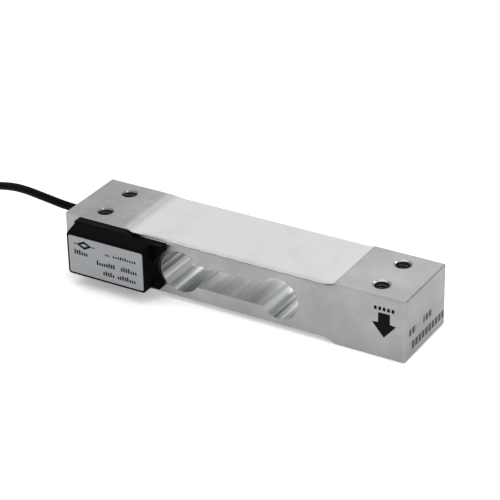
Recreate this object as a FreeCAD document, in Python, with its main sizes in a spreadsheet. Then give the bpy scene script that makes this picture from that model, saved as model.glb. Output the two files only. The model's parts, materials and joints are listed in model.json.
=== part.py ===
import FreeCAD, Part
import math
import os
import re

import Sketcher
from FreeCAD import Vector

# Single point load cell, in millimetres, +Z up.
# The origin is on the mounting face, midway between the two tapped holes of the
# cable end. +X runs along the beam to the load end, and -Y faces the side cover.

doc = FreeCAD.newDocument("load_cell")

sizes = {
    # beam
    "beam_length": 130,
    "beam_width": 29,
    "beam_height": 22.5,
    "edge_break": 0.4,
    "hole_edge": 12,  # hole centres from the nearer end of the beam
    "hole_pitch": 15,  # across the beam
    "tap_drill": 5,
    "countersink_reach": 0.7,  # out from the hole's wall
    "countersink_depth": 0.4,
    # recess for the strain gauges, midway along the top and the bottom
    "recess_length": 79,
    "recess_depth": 1.5,
    "runout_radius": 10,
    # flexures
    "flexure_bore": 15,
    "flexure_pitch": 37.5,
    "slot_height": 8.5,
    # side pocket and wire passages
    "pocket_start": 16,  # from the cable end of the beam
    "pocket_past_hole": 1.5,  # from the middle of the wire hole to the pocket's end
    "pocket_over_bore": 0.3,
    "pocket_inset": 0.2,  # from the lower edge of the frame's opening
    "pocket_depth": 3.5,
    "pocket_corner": 2,
    "cable_below_top": 7,
    "cable_bore": 4.4,
    "cross_bore_place": 21,  # from the cable end of the beam
    "wire_hole": 2.2,
    "wire_hole_place": 1.7,  # from where the run-out of the recess ends
    "wire_hole_inset": 2,  # from the side face
    # strain gauges and their wiring
    "gauge_length": 9,
    "gauge_width": 6,
    "gauge_thickness": 0.2,
    "strip_length": 4,
    "strip_width": 7,
    "wire_diameter": 0.4,
    "wire_pitch": 0.55,
    "wire_lift": 0.02,
    "wire_bend": 0.8,
    "solder_lap": 1.2,  # how far a wire lies over a gauge or a strip
    "jumper_pitch": 3,
    "long_jumper_pitch": 5.6,
    "jumper_clearance": 1.2,  # between the long jumpers and the nearer gauge
    "lead_drop": 1.9,  # from the end of the wire hole down to where the leads turn
    # silicone coat
    "coat_below_pad": 0.6,
    "coat_side_gap": 0.45,
    "coat_round": 0.6,
    # terminal board
    "board_margin": 1,  # overlap on the beam at the cable end of the pocket
    "board_gap": 0.5,  # to the lower and the right edge of the frame's opening
    "board_gap_above": 1.7,
    "board_thickness": 1,
    "board_corner": 1,
    "board_hole": 0.9,
    "board_hole_pitch": 2.2,
    "board_hole_edge": 2.2,
    "resistor_length": 3.2,
    "resistor_width": 1.6,
    "resistor_thickness": 0.7,
    "resistor_pitch": 5,
    # frame of the cover
    "base_start": 6,  # from the cable end of the beam
    "base_depth": 3.5,
    "base_bottom": 4.1,
    "base_below_pad": 0.4,
    "base_below_floor": 0.15,
    "base_round": 0.4,
    "base_land": 0.9,  # how far the frame's rim reaches in under the lid
    "bore_margin": 1.2,  # between the flexure bore and the frame
    "upper_horn": 2.66,  # height of the horn's end, over the flexure bore
    "lower_horn": 1.42,  # the same, under it
    # lid of the cover
    "cover_inset": 0.2,  # from the end of the frame
    "cover_bore_gap": 0.1,  # from the lid's other end to the frame's arc
    "cover_bottom": 4.6,
    "cover_below_pad": 1.9,
    "cover_depth": 5,
    "cover_wall": 1.3,
    "cover_corner": 1,
    "cover_round": 0.35,
    "lip_length": 1.2,
    "lip_wall": 0.9,
    "lip_clearance": 0.1,
    "parting_groove": 0.35,
    # nameplate
    "plate_margin_left": 0.55,
    "plate_margin_right": 0.25,
    "plate_margin_height": 0.6,  # above the plate and below it
    "plate_thickness": 0.3,
    "plate_recess": 0.15,
    "plate_corner": 0.6,
    "plate_clearance": 0.05,
    # cable
    "cable_diameter": 3,
    "sheath_inside": 6.5,
    "seal_length": 6,
    "seal_bead": 0.8,
    "seal_bead_width": 0.7,
    "seal_round": 1.6,
    "core_diameter": 0.8,
    "core_pitch": 1,
    "core_bend": 2,
    "coil_radius": 16.5,
    "coil_slack": 0.2,
    "coil_lead": 11.5,
    "stripped_length": 11,
    "bare_tip": 3,
    "bare_diameter": 0.5,
}

sheet = doc.addObject("Spreadsheet::Sheet", "Sizes")
for row, (alias, number) in enumerate(sizes.items(), start=1):
    sheet.set(f"A{row}", alias)
    sheet.set(f"B{row}", str(number))
    sheet.setAlias(f"B{row}", alias)
doc.recompute()


def formula(text):
    """The text with each size's name pointing into the sheet."""
    text = str(text)
    return re.sub(r"[a-z_]+", lambda w: "Sizes." + w.group() if w.group() in sizes else w.group(), text)


def value(text):
    """What a formula comes to at the sheet's present sizes."""
    return float(sheet.evalExpression(str(text)))


def bind(thing, **formulas):
    for prop, text in formulas.items():
        thing.setExpression(prop, formula(text))


# ---------------------------------------------------------------- shared places

beam_start = "(-hole_edge)"
beam_end = "(beam_length - hole_edge)"
front_face = "(beam_width / 2)"  # distance of the front face from the middle plane
middle_height = "(beam_height / 2)"
recess_start = "((beam_length - recess_length) / 2 - hole_edge)"
recess_end = "((beam_length + recess_length) / 2 - hole_edge)"
runout = "sqrt(2 * runout_radius * recess_depth - recess_depth ^ 2)"
recess_floor = "(beam_height - recess_depth)"
flexure_fixed = "((beam_length - flexure_pitch) / 2 - hole_edge)"
flexure_load = "((beam_length + flexure_pitch) / 2 - hole_edge)"
inner_start = f"({recess_start} + {runout})"
inner_end = f"({recess_end} - {runout})"
cable_level = "(beam_height - cable_below_top)"
cross_bore_x = "(cross_bore_place - hole_edge)"
wire_hole_x = f"({inner_start} + wire_hole_place)"
wire_hole_y = "(wire_hole_inset - beam_width / 2)"
pocket_left = "(pocket_start - hole_edge)"
pocket_right = f"({wire_hole_x} + pocket_past_hole)"
pocket_top = f"({cable_level} + cable_bore / 2 + pocket_over_bore)"

# The lid ends beside the flexure bore, and the frame's opening lies inside its edge.
bore_reach = "(flexure_bore / 2 + bore_margin)"
cover_left = "(base_start + cover_inset - hole_edge)"
cover_right = f"({flexure_fixed} - {bore_reach} - cover_bore_gap)"
cover_top = "(beam_height - cover_below_pad)"
opening_left, opening_right = f"({cover_left} + base_land)", f"({cover_right} - base_land)"
opening_bottom, opening_top = "(cover_bottom + base_land)", f"({cover_top} - base_land)"
pocket_bottom = f"({opening_bottom} + pocket_inset)"


# ------------------------------------------------------------------ sketch tools


def origin_plane(body, role):
    return next(f for f in body.Origin.OriginFeatures if f.Role == role)


def sketch_on(body, name, role, offset="0"):
    """A sketch on one of the body's own origin planes, moved along its normal."""
    sketch = body.newObject("Sketcher::SketchObject", name)
    sketch.AttachmentSupport = [(origin_plane(body, role), "")]
    sketch.MapMode = "FlatFace"
    sketch.setExpression("AttachmentOffset.Base.z", formula(offset))
    return sketch


def constrain(sketch, kind, places, text):
    index = sketch.addConstraint(Sketcher.Constraint(kind, *places, value(text)))
    sketch.setExpression(f"Constraints[{index}]", formula(text))


def arc_between(start, end, radius, centre_side):
    """An arc from start to end whose centre lies on the named side of that way."""
    chord = end - start
    left = Vector(-chord.y, chord.x, 0).normalize()
    rise = math.sqrt(max(radius**2 - (chord.Length / 2) ** 2, 0))
    centre = (start + end) / 2 + left * (rise if centre_side == "left" else -rise)
    first, last = (start, end) if centre_side == "left" else (end, start)
    angles = [math.atan2(p.y - centre.y, p.x - centre.x) for p in (first, last)]
    return Part.ArcOfCircle(Part.Circle(centre, Vector(0, 0, 1), radius), *angles)


def draw_outline(sketch, corners, arcs=None):
    """A closed outline through corners given as pairs of formulas.

    arcs maps the number of an edge to the formula of its radius and the side its
    centre lies on, and the other edges are straight.
    """
    arcs = arcs or {}
    places = [Vector(value(x), value(y), 0) for x, y in corners]
    ends = []
    for k, start in enumerate(places):
        end = places[(k + 1) % len(places)]
        if k in arcs:
            radius, side = arcs[k]
            edge = sketch.addGeometry(arc_between(start, end, value(radius), side), False)
            ends.append((edge, 1, 2) if side == "left" else (edge, 2, 1))
        else:
            edge = sketch.addGeometry(Part.LineSegment(start, end), False)
            ends.append((edge, 1, 2))
    for (edge, _, last), (following, first, _) in zip(ends, ends[1:] + ends[:1]):
        sketch.addConstraint(Sketcher.Constraint("Coincident", edge, last, following, first))
    for (edge, first, _), (x, y) in zip(ends, corners):
        constrain(sketch, "DistanceX", (-1, 1, edge, first), x)
        constrain(sketch, "DistanceY", (-1, 1, edge, first), y)
    for k, (radius, _) in arcs.items():
        constrain(sketch, "Radius", (ends[k][0],), radius)
    return sketch


def draw_rounded(sketch, left, right, bottom, top, radius):
    """A rectangle between four formulas, with rounded corners."""
    corners = [
        (f"{left} + {radius}", bottom),
        (f"{right} - {radius}", bottom),
        (right, f"{bottom} + {radius}"),
        (right, f"{top} - {radius}"),
        (f"{right} - {radius}", top),
        (f"{left} + {radius}", top),
        (left, f"{top} - {radius}"),
        (left, f"{bottom} + {radius}"),
    ]
    return draw_outline(sketch, corners, {k: (radius, "left") for k in (1, 3, 5, 7)})


def draw_rectangle(sketch, left, right, bottom, top):
    return draw_outline(sketch, [(left, bottom), (right, bottom), (right, top), (left, top)])


def draw_circle(sketch, x, y, diameter):
    place = Vector(value(x), value(y), 0)
    edge = sketch.addGeometry(Part.Circle(place, Vector(0, 0, 1), value(diameter) / 2), False)
    constrain(sketch, "DistanceX", (-1, 1, edge, 3), x)
    constrain(sketch, "DistanceY", (-1, 1, edge, 3), y)
    constrain(sketch, "Diameter", (edge,), diameter)
    return sketch


# ----------------------------------------------------------------- feature tools


def new_body(label):
    body = doc.addObject("PartDesign::Body", label)
    body.Label = label
    return body


def pad(body, name, sketch, length, symmetric=False, reverse=False):
    feature = body.newObject("PartDesign::Pad", name)
    feature.Profile = sketch
    feature.SideType = "Symmetric" if symmetric else "One side"
    feature.Reversed = reverse
    bind(feature, Length=length)
    doc.recompute()
    return feature


def pocket(body, name, sketch, depth=None, symmetric=False, reverse=False):
    """Cuts the sketch into the body, right through where no depth is given."""
    before = body.Shape.Volume
    feature = body.newObject("PartDesign::Pocket", name)
    feature.Profile = sketch
    feature.SideType = "Symmetric" if symmetric else "One side"
    feature.Reversed = reverse
    if depth is None:
        feature.Type = "ThroughAll"
    else:
        bind(feature, Length=depth)
    doc.recompute()
    if not body.Shape.Volume < before - 1e-6:
        raise ValueError(f"{name} cuts nothing")
    return feature


def edges_where(feature, test):
    return [f"Edge{k}" for k, edge in enumerate(feature.Shape.Edges, start=1) if test(edge)]


def chamfer(body, name, base, test, size, depth=None):
    """A bevel of one size, or of a size on the face and a depth."""
    feature = body.newObject("PartDesign::Chamfer", name)
    feature.Base = (base, edges_where(base, test))
    feature.ChamferType = "Equal distance" if depth is None else "Two distances"
    bind(feature, Size=size, **({} if depth is None else {"Size2": depth}))
    doc.recompute()
    return feature


def fillet(body, name, base, test, radius):
    feature = body.newObject("PartDesign::Fillet", name)
    feature.Base = (base, edges_where(base, test))
    bind(feature, Radius=radius)
    doc.recompute()
    return feature


def is_circle(edge, radius):
    return (
        isinstance(edge.Curve, Part.Circle)
        and abs(edge.Curve.Radius - radius) < 1e-4
        and len(edge.Vertexes) == 1
    )


def lies_at(edge, axis, place):
    low, high = getattr(edge.BoundBox, axis + "Min"), getattr(edge.BoundBox, axis + "Max")
    return abs(low - place) < 1e-4 and abs(high - place) < 1e-4


# -------------------------------------------------------------------------- beam


def make_beam():
    """One milled bar: the flexure webs are what the two bores leave over the slot."""
    body = new_body("beam")
    side = sketch_on(body, "side_profile", "XZ_Plane")
    draw_outline(
        side,
        [
            (beam_start, "0"),
            (recess_start, "0"),
            (inner_start, "recess_depth"),
            (inner_end, "recess_depth"),
            (recess_end, "0"),
            (beam_end, "0"),
            (beam_end, "beam_height"),
            (recess_end, "beam_height"),
            (inner_end, recess_floor),
            (inner_start, recess_floor),
            (recess_start, "beam_height"),
            (beam_start, "beam_height"),
        ],
        {k: ("runout_radius", "right") for k in (1, 3, 7, 9)},
    )
    bar = pad(body, "bar", side, "beam_width", symmetric=True)
    broken = chamfer(
        body,
        "edge_breaks",
        bar,
        lambda e: lies_at(e, "Y", value(front_face))
        or lies_at(e, "Y", -value(front_face))
        or (lies_at(e, "X", value(beam_start)) or lies_at(e, "X", value(beam_end)))
        and e.BoundBox.YLength > 1,
        "edge_break",
    )

    bores = sketch_on(body, "flexure_bores", "XZ_Plane")
    draw_circle(bores, flexure_fixed, middle_height, "flexure_bore")
    draw_circle(bores, flexure_load, middle_height, "flexure_bore")
    pocket(body, "bore_through", bores, symmetric=True)
    slot = sketch_on(body, "slot", "XZ_Plane")
    low, high = f"{middle_height} - slot_height / 2", f"{middle_height} + slot_height / 2"
    draw_rectangle(slot, flexure_fixed, flexure_load, low, high)
    pocket(body, "slot_through", slot, symmetric=True)

    holes = sketch_on(body, "tapped_holes", "XY_Plane", "beam_height")
    for x in ("0", "(beam_length - 2 * hole_edge)"):
        for y in ("hole_pitch / 2", "-hole_pitch / 2"):
            draw_circle(holes, x, y, "tap_drill")
    drilled = pocket(body, "tap_drilling", holes)
    chamfer(
        body,
        "countersinks",
        drilled,
        lambda e: is_circle(e, value("tap_drill") / 2) and e.BoundBox.ZLength < 1e-4,
        "countersink_reach",
        "countersink_depth",
    )

    opening = sketch_on(body, "side_pocket", "XZ_Plane", front_face)
    draw_rounded(opening, pocket_left, pocket_right, pocket_bottom, pocket_top, "pocket_corner")
    pocket(body, "side_pocket_cut", opening, "pocket_depth")
    entry = sketch_on(body, "cable_entry", "YZ_Plane", beam_start)
    draw_circle(entry, "0", cable_level, "cable_bore")
    pocket(body, "cable_bore_cut", entry, "cross_bore_place + cable_bore / 2", reverse=True)
    crossing = sketch_on(body, "cross_bore", "XZ_Plane", front_face)
    draw_circle(crossing, cross_bore_x, cable_level, "cable_bore")
    pocket(body, "cross_bore_cut", crossing, "beam_width / 2 + cable_bore / 2")
    passage = sketch_on(body, "wire_holes", "XY_Plane", "beam_height")
    draw_circle(passage, wire_hole_x, wire_hole_y, "wire_hole")
    pocket(body, "wire_holes_cut", passage)
    return body


# ------------------------------------------------------ strain gauges and wiring

solder_level = f"({recess_floor} + gauge_thickness)"
wire_level = f"({solder_level} + wire_lift + wire_diameter / 2)"
strip_middle = f"(({inner_start} + {flexure_fixed} - gauge_length / 2) / 2)"
strip_begin, strip_end = f"({strip_middle} - strip_length / 2)", f"({strip_middle} + strip_length / 2)"


def make_box(label, x, y, z, length, width, height):
    """A block from its lowest corner and its three sizes."""
    block = doc.addObject("Part::Box", label)
    block.Label = label
    bind(block, Length=length, Width=width, Height=height)
    for axis, text in zip("xyz", (x, y, z)):
        block.setExpression(f"Placement.Base.{axis}", formula(text))
    return block


def make_gauge(label, flexure):
    left = f"{flexure} - gauge_length / 2"
    size = ("gauge_length", "gauge_width", "gauge_thickness")
    return make_box(label, left, "-gauge_width / 2", recess_floor, *size)


def rounded_path(points, bend=None):
    """Straight runs joined by tangent arcs, and the arcs' radii.

    Each arc is as large as its two runs allow, or as the bend where that is less.
    """
    edges, radii = [], []
    start = points[0]
    for before, corner, after in zip(points, points[1:], points[2:]):
        coming, going = (corner - before).normalize(), (after - corner).normalize()
        half_turn = coming.getAngle(going) / 2
        shorter = min((corner - before).Length, (after - corner).Length)
        radius = 0.45 * shorter / math.tan(half_turn)
        radius = min(radius, bend) if bend else radius
        reach = radius * math.tan(half_turn)
        inward = (going - coming).normalize()
        middle = corner + inward * (radius / math.cos(half_turn) - radius)
        edges.append(Part.makeLine(start, corner - coming * reach))
        edges.append(Part.Arc(corner - coming * reach, middle, corner + going * reach).toShape())
        radii.append(radius)
        start = corner + going * reach
    edges.append(Part.makeLine(start, points[-1]))
    return Part.Wire(edges), radii


def make_tube(name, points, diameter, bend=None):
    """A round solid swept along a rounded path, and the path's length and radii."""
    path, radii = rounded_path(points, bend)
    spine = doc.addObject("Part::Feature", name + "_path")
    spine.Shape = path
    ring = doc.addObject("Part::Circle", name + "_section")
    bind(ring, Radius=f"({diameter}) / 2")
    along = FreeCAD.Rotation(Vector(0, 0, 1), points[1] - points[0])
    ring.Placement = FreeCAD.Placement(points[0], along)
    tube = doc.addObject("Part::Sweep", name)
    tube.Label = name
    tube.Sections = [ring]
    tube.Spine = (spine, [f"Edge{k + 1}" for k in range(len(path.Edges))])
    tube.Solid = True
    doc.recompute()
    expected = math.pi * value(diameter) ** 2 / 4 * path.Length
    if abs(tube.Shape.Volume - expected) > 0.01 * expected:
        raise ValueError(f"{name}: the tube holds {tube.Shape.Volume:.2f} and not {expected:.2f}")
    return tube, path.Length, radii


def place(x, y, z):
    return Vector(value(x), value(y), value(z))


def group(label, pieces):
    """Like pieces that share a node, each a solid of its own."""
    together = doc.addObject("Part::Compound", label)
    together.Label = label
    together.Links = pieces
    return together


def make_jumpers(label):
    """Two short wires to the nearer gauge, and two long ones that pass beside it."""
    gauge_near, gauge_far = (f"({f} - gauge_length / 2)" for f in (flexure_fixed, flexure_load))
    swing = "(gauge_width / 2 + jumper_clearance)"
    wires = []
    for side in (-1, 1):
        short_y, long_y = f"{side} * jumper_pitch / 2", f"{side} * long_jumper_pitch / 2"
        beside = f"{side} * {swing}"
        over_strip = f"{strip_end} - solder_lap"
        short = [
            place(over_strip, short_y, wire_level),
            place(f"{gauge_near} + solder_lap", short_y, wire_level),
        ]
        long = [
            place(over_strip, long_y, wire_level),
            place(strip_end, long_y, wire_level),
            place(gauge_near, beside, wire_level),
            place(f"{gauge_far} - {swing}", beside, wire_level),
            place(gauge_far, short_y, wire_level),
            place(f"{gauge_far} + solder_lap", short_y, wire_level),
        ]
        for kind, points in (("short", short), ("long", long)):
            name = f"{label}_{kind}_{'front' if side < 0 else 'back'}"
            wires.append(make_tube(name, points, "wire_diameter", value("wire_bend"))[0])
    return group(label, wires)


def make_leads(label):
    """Three wires from the strip along the recess and down the wire hole to the board."""
    wires = []
    for k in (-1, 0, 1):
        shift = f"{k} * wire_pitch"
        x = f"{wire_hole_x} - {shift}"
        turn = f"{pocket_top} - lead_drop"
        points = [
            place(f"{strip_begin} + solder_lap", shift, wire_level),
            place(x, shift, wire_level),
            place(x, wire_hole_y, wire_level),
            place(x, wire_hole_y, turn),
            place(x, f"-{front_face}", turn),
        ]
        wires.append(make_tube(f"{label}_{k + 2}", points, "wire_diameter", value("wire_bend"))[0])
    return group(label, wires)


def make_coat(label, inside):
    """The coat fills the recess up to its run-outs, and takes the gauges and wires in."""
    top = "(beam_height - coat_below_pad)"
    reach = "sqrt(runout_radius ^ 2 - (runout_radius - recess_depth + coat_below_pad) ^ 2)"
    filling = new_body(label + "_filling")
    side = sketch_on(filling, label + "_side", "XZ_Plane")
    draw_outline(
        side,
        [
            (f"{inner_start} - {reach}", top),
            (inner_start, recess_floor),
            (inner_end, recess_floor),
            (f"{inner_end} + {reach}", top),
        ],
        {0: ("runout_radius", "left"), 2: ("runout_radius", "left")},
    )
    pad(filling, label + "_fill", side, "beam_width", symmetric=True)

    section = new_body(label + "_section")
    across = sketch_on(section, label + "_across", "YZ_Plane", beam_start)
    edge = f"({front_face} - coat_side_gap)"
    draw_outline(
        across,
        [
            (f"-{edge}", recess_floor),
            (edge, recess_floor),
            (edge, f"{top} - coat_round"),
            (f"{edge} - coat_round", top),
            (f"coat_round - {edge}", top),
            (f"-{edge}", f"{top} - coat_round"),
        ],
        {2: ("coat_round", "left"), 4: ("coat_round", "left")},
    )
    pad(section, label + "_run", across, "beam_length")

    solid = doc.addObject("Part::Common", label + "_solid")
    solid.Base, solid.Tool = filling, section
    coat = doc.addObject("Part::Cut", label)
    coat.Label = label
    coat.Base, coat.Tool = solid, group(label + "_inside", inside)
    doc.recompute()
    return coat


def mirrored_below(label, source):
    """The same piece on the underside, mirrored about the beam's middle height."""
    mirror = doc.addObject("Part::Mirroring", label)
    mirror.Label = label
    mirror.Source = source
    mirror.Normal = Vector(0, 0, 1)
    mirror.setExpression("Base.z", formula(middle_height))
    return mirror


# --------------------------------------------------------- terminal board, cover

board_face = f"({front_face} + board_thickness)"
board_left, board_right = f"({pocket_left} - board_margin)", f"({opening_right} - board_gap)"
board_bottom, board_top = f"({opening_bottom} + board_gap)", f"({opening_top} - board_gap_above)"
base_left = "(base_start - hole_edge)"
parting = f"({front_face} + base_depth)"
cover_face = f"({parting} + cover_depth)"


def make_board():
    body = new_body("terminal_board")
    outline = sketch_on(body, "board_outline", "XZ_Plane", front_face)
    draw_rounded(outline, board_left, board_right, board_bottom, board_top, "board_corner")
    pad(body, "board_sheet", outline, "board_thickness")
    hole = sketch_on(body, "board_hole_sketch", "XZ_Plane", board_face)
    first = f"{board_left} + board_hole_edge"
    draw_circle(hole, first, f"{board_bottom} + board_hole_edge", "board_hole")
    drilled = pocket(body, "board_hole_cut", hole)
    row = body.newObject("PartDesign::LinearPattern", "board_hole_row")
    row.Originals = [drilled]
    row.Direction = (hole, ["H_Axis"])
    row.Occurrences = 5
    bind(row, Length="4 * board_hole_pitch")
    body.Tip = row
    return body


def make_resistor(label, place_in_row):
    """A chip on the outer face of the board."""
    middle = f"(({board_left} + {board_right}) / 2 + {place_in_row} * resistor_pitch)"
    return make_box(
        label,
        f"{middle} - resistor_length / 2",
        f"-({board_face} + resistor_thickness)",
        f"({board_bottom} + {board_top}) / 2",
        "resistor_length",
        "resistor_thickness",
        "resistor_width",
    )


def on_parting(edge):
    return lies_at(edge, "Y", -value(parting))


def make_cover_base():
    """A frame glued to the beam, cut away round the flexure bore between two horns."""
    body = new_body("cover_base")
    over_pad, over_recess = "(beam_height - base_below_pad)", f"({recess_floor} - base_below_floor)"
    upper_z, lower_z = f"({over_recess} - upper_horn)", "(base_bottom + lower_horn)"
    upper_x = f"({flexure_fixed} - sqrt({bore_reach} ^ 2 - ({upper_z} - {middle_height}) ^ 2))"
    lower_x = f"({flexure_fixed} - sqrt({bore_reach} ^ 2 - ({middle_height} - {lower_z}) ^ 2))"
    outline = sketch_on(body, "base_outline", "XZ_Plane", front_face)
    draw_outline(
        outline,
        [
            (base_left, "base_bottom"),
            (lower_x, "base_bottom"),
            (lower_x, lower_z),
            (upper_x, upper_z),
            (upper_x, over_recess),
            (inner_start, over_recess),
            (recess_start, over_pad),
            (base_left, over_pad),
        ],
        {2: (bore_reach, "right")},
    )
    block = pad(body, "base_block", outline, "base_depth")
    rounded = fillet(
        body, "base_corners", block, lambda e: abs(e.BoundBox.YLength - e.Length) < 1e-4, "base_round"
    )
    chamfer(body, "base_groove", rounded, on_parting, "parting_groove")
    opening = sketch_on(body, "base_opening", "XZ_Plane", parting)
    draw_rectangle(opening, opening_left, opening_right, opening_bottom, opening_top)
    pocket(body, "base_opening_cut", opening)
    return body


def make_side_cover():
    """A moulded lid: thin walls, a lip inside the frame and a seat for the nameplate."""
    body = new_body("side_cover")
    outline = sketch_on(body, "cover_outline", "XZ_Plane", parting)
    draw_rounded(outline, cover_left, cover_right, "cover_bottom", cover_top, "cover_corner")
    block = pad(body, "cover_block", outline, "cover_depth")
    softened = fillet(
        body, "cover_front_edges", block, lambda e: lies_at(e, "Y", -value(cover_face)), "cover_round"
    )
    chamfer(body, "cover_groove", softened, on_parting, "parting_groove")

    hollow = sketch_on(body, "cover_hollow", "XZ_Plane", parting)
    draw_rectangle(
        hollow,
        f"{cover_left} + cover_wall",
        f"{cover_right} - cover_wall",
        "cover_bottom + cover_wall",
        f"{cover_top} - cover_wall",
    )
    pocket(body, "cover_hollow_cut", hollow, "cover_depth - cover_wall", reverse=True)

    lip = sketch_on(body, "cover_lip", "XZ_Plane", parting)
    for inset in ("lip_clearance", "(lip_clearance + lip_wall)"):
        draw_rectangle(
            lip,
            f"{opening_left} + {inset}",
            f"{opening_right} - {inset}",
            f"{opening_bottom} + {inset}",
            f"{opening_top} - {inset}",
        )
    pad(body, "cover_lip_ring", lip, "lip_length", reverse=True)

    seat = sketch_on(body, "plate_seat", "XZ_Plane", cover_face)
    draw_plate(seat, "plate_clearance")
    pocket(body, "plate_seat_cut", seat, "plate_recess")
    return body


def draw_plate(sketch, growth):
    """The nameplate's outline on the lid's face, grown by a clearance."""
    return draw_rounded(
        sketch,
        f"({cover_left} + plate_margin_left - {growth})",
        f"({cover_right} - plate_margin_right + {growth})",
        f"(cover_bottom + plate_margin_height - {growth})",
        f"({cover_top} - plate_margin_height + {growth})",
        f"(plate_corner + {growth})",
    )


def make_nameplate():
    body = new_body("nameplate")
    outline = sketch_on(body, "plate_outline", "XZ_Plane", f"{cover_face} - plate_recess")
    draw_plate(outline, "0")
    pad(body, "plate_sheet", outline, "plate_thickness")
    return body


# ------------------------------------------------------------------------- cable

cable_exit = place(beam_start, "0", cable_level)


def make_seal():
    """A ring of compound in the mouth of the cable bore, with a bead outside."""
    body = new_body("cable_seal")
    body.setExpression("Placement.Base.x", formula(beam_start))
    body.setExpression("Placement.Base.z", formula(cable_level))
    profile = sketch_on(body, "seal_profile", "XZ_Plane")
    draw_outline(
        profile,
        [
            ("-seal_bead_width", "cable_diameter / 2"),
            ("seal_length", "cable_diameter / 2"),
            ("seal_length", "cable_bore / 2"),
            ("0", "cable_bore / 2"),
            ("0", "cable_bore / 2 + seal_bead"),
        ],
        {4: ("seal_round", "left")},
    )
    turned = body.newObject("PartDesign::Revolution", "seal_turned")
    turned.Profile = profile
    turned.ReferenceAxis = (profile, ["H_Axis"])
    turned.Angle = 360
    return body


def make_board_leads(label):
    """The four cores from the stripped sheath, round the cross bore to the board."""
    wires = []
    for y in (-1, 1):
        for z in (-1, 1):
            shift = f"{y} * core_pitch / 2"
            level = f"{cable_level} + {z} * core_pitch / 2"
            points = [
                place(f"{beam_start} + sheath_inside", shift, level),
                place(f"{cross_bore_x} + {shift}", shift, level),
                place(f"{cross_bore_x} + {shift}", f"-{front_face}", level),
            ]
            bend = value(f"core_bend + {shift}")
            wires.append(make_tube(f"{label}_{len(wires) + 1}", points, "core_diameter", bend)[0])
    return group(label, wires)


# The cable's run to its coil, as places from where it leaves the beam.
route = [
    cable_exit + Vector(value("sheath_inside"), 0, 0),
    cable_exit + Vector(-8, 0, 0),
    cable_exit + Vector(-22.4, 3.2, -0.5),
    cable_exit + Vector(-36, 7.9, -2.4),
    cable_exit + Vector(-47, 12, -6),
    cable_exit + Vector(-57, 15, -9.7),
    cable_exit + Vector(-65, 16.7, -11),
    cable_exit + Vector(-71.9, 18.04, -11),
]


def make_coil():
    """Two turns beside and two on each other, as one ring with the cable's two ends."""
    body = new_body("cable_coil")
    outer_turn = "(coil_radius + cable_diameter / 2)"
    last_run = route[-1] - route[-2]
    heading = FreeCAD.Rotation(Vector(-1, 0, 0), last_run)
    entry = heading.multVec(place("coil_lead", outer_turn, "1.5 * cable_diameter"))
    body.Placement = FreeCAD.Placement(route[-1] - entry, heading)

    profile = sketch_on(body, "coil_profile", "XZ_Plane")
    half = "(cable_diameter + coil_slack / 2)"
    inner, outer = f"(coil_radius - {half})", f"(coil_radius + {half})"
    draw_rounded(profile, inner, outer, "0", "(2 * cable_diameter)", "(cable_diameter / 2)")
    ring = body.newObject("PartDesign::Revolution", "coil_ring")
    ring.Profile = profile
    ring.ReferenceAxis = (profile, ["V_Axis"])
    ring.Angle = 360
    doc.recompute()
    lead_in = sketch_on(body, "coil_lead_in", "YZ_Plane")
    draw_circle(lead_in, outer_turn, "1.5 * cable_diameter", "cable_diameter")
    pad(body, "coil_entry", lead_in, "coil_lead")
    lead_out = sketch_on(body, "coil_lead_out", "XZ_Plane")
    draw_circle(lead_out, f"-{outer_turn}", "cable_diameter / 2", "cable_diameter")
    pad(body, "coil_exit", lead_out, "coil_lead")
    return body


def make_core(label, coil, across, up, splay):
    """One stripped core, from the sheath's end down to the floor, with a bare tip."""
    at = coil.Placement.multVec
    x, z = f"{across} * core_pitch / 2", f"(cable_diameter / 2 + {up} * core_pitch / 2)"
    sheath_x, floor_z = "-(coil_radius + cable_diameter / 2)", "0.6 * core_diameter"
    if across == 0:
        diameter, tip = "bare_diameter", 0
    else:
        diameter, tip = "core_diameter", value("bare_tip")
    length = value("stripped_length")
    halfway = f"({floor_z} + {z}) / 2"
    stations = [(0, 0, z), (0.2, 0, z), (0.5, 0.45, halfway), (0.75, 0.75, floor_z), (1, 1, floor_z)]
    points = [
        at(place(f"{sheath_x} + {x} + {share * splay}", f"-coil_lead - {along * length}", level))
        for along, share, level in stations
    ]
    tube, _, radii = make_tube(label + "_wire", points, diameter)
    if not tip:
        tube.Label = label
        return tube
    bare = doc.addObject("Part::Cylinder", label + "_bare")
    bind(bare, Radius="bare_diameter / 2", Height="bare_tip")
    outward = FreeCAD.Rotation(Vector(0, 0, 1), points[-1] - points[-2])
    bare.Placement = FreeCAD.Placement(points[-1], outward)
    core = doc.addObject("Part::Fuse", label)
    core.Label = label
    core.Base, core.Tool = tube, bare
    return core


# ---------------------------------------------------------------------- assembly

nodes = [make_beam()]

top_gauges = [
    make_gauge("gauge_top_fixed_end", flexure_fixed),
    make_gauge("gauge_top_load_end", flexure_load),
]
strip_size = ("strip_length", "strip_width", "gauge_thickness")
top_strip = make_box("top_solder_strip", strip_begin, "-strip_width / 2", recess_floor, *strip_size)
top_jumpers = make_jumpers("top_jumpers")
top_leads = make_leads("top_leads")
top_pieces = [*top_gauges, top_strip, top_jumpers, top_leads]
top_pieces.append(make_coat("top_coating", list(top_pieces)))
nodes += top_pieces
nodes += [mirrored_below(piece.Label.replace("top", "bottom"), piece) for piece in top_pieces]

nodes.append(make_board())
nodes += [
    make_resistor(label, spot)
    for spot, label in zip((-1, 0, 1), ("zero_resistor", "span_resistor", "thermal_resistor"))
]
nodes += [make_cover_base(), make_side_cover(), make_nameplate()]

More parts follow.
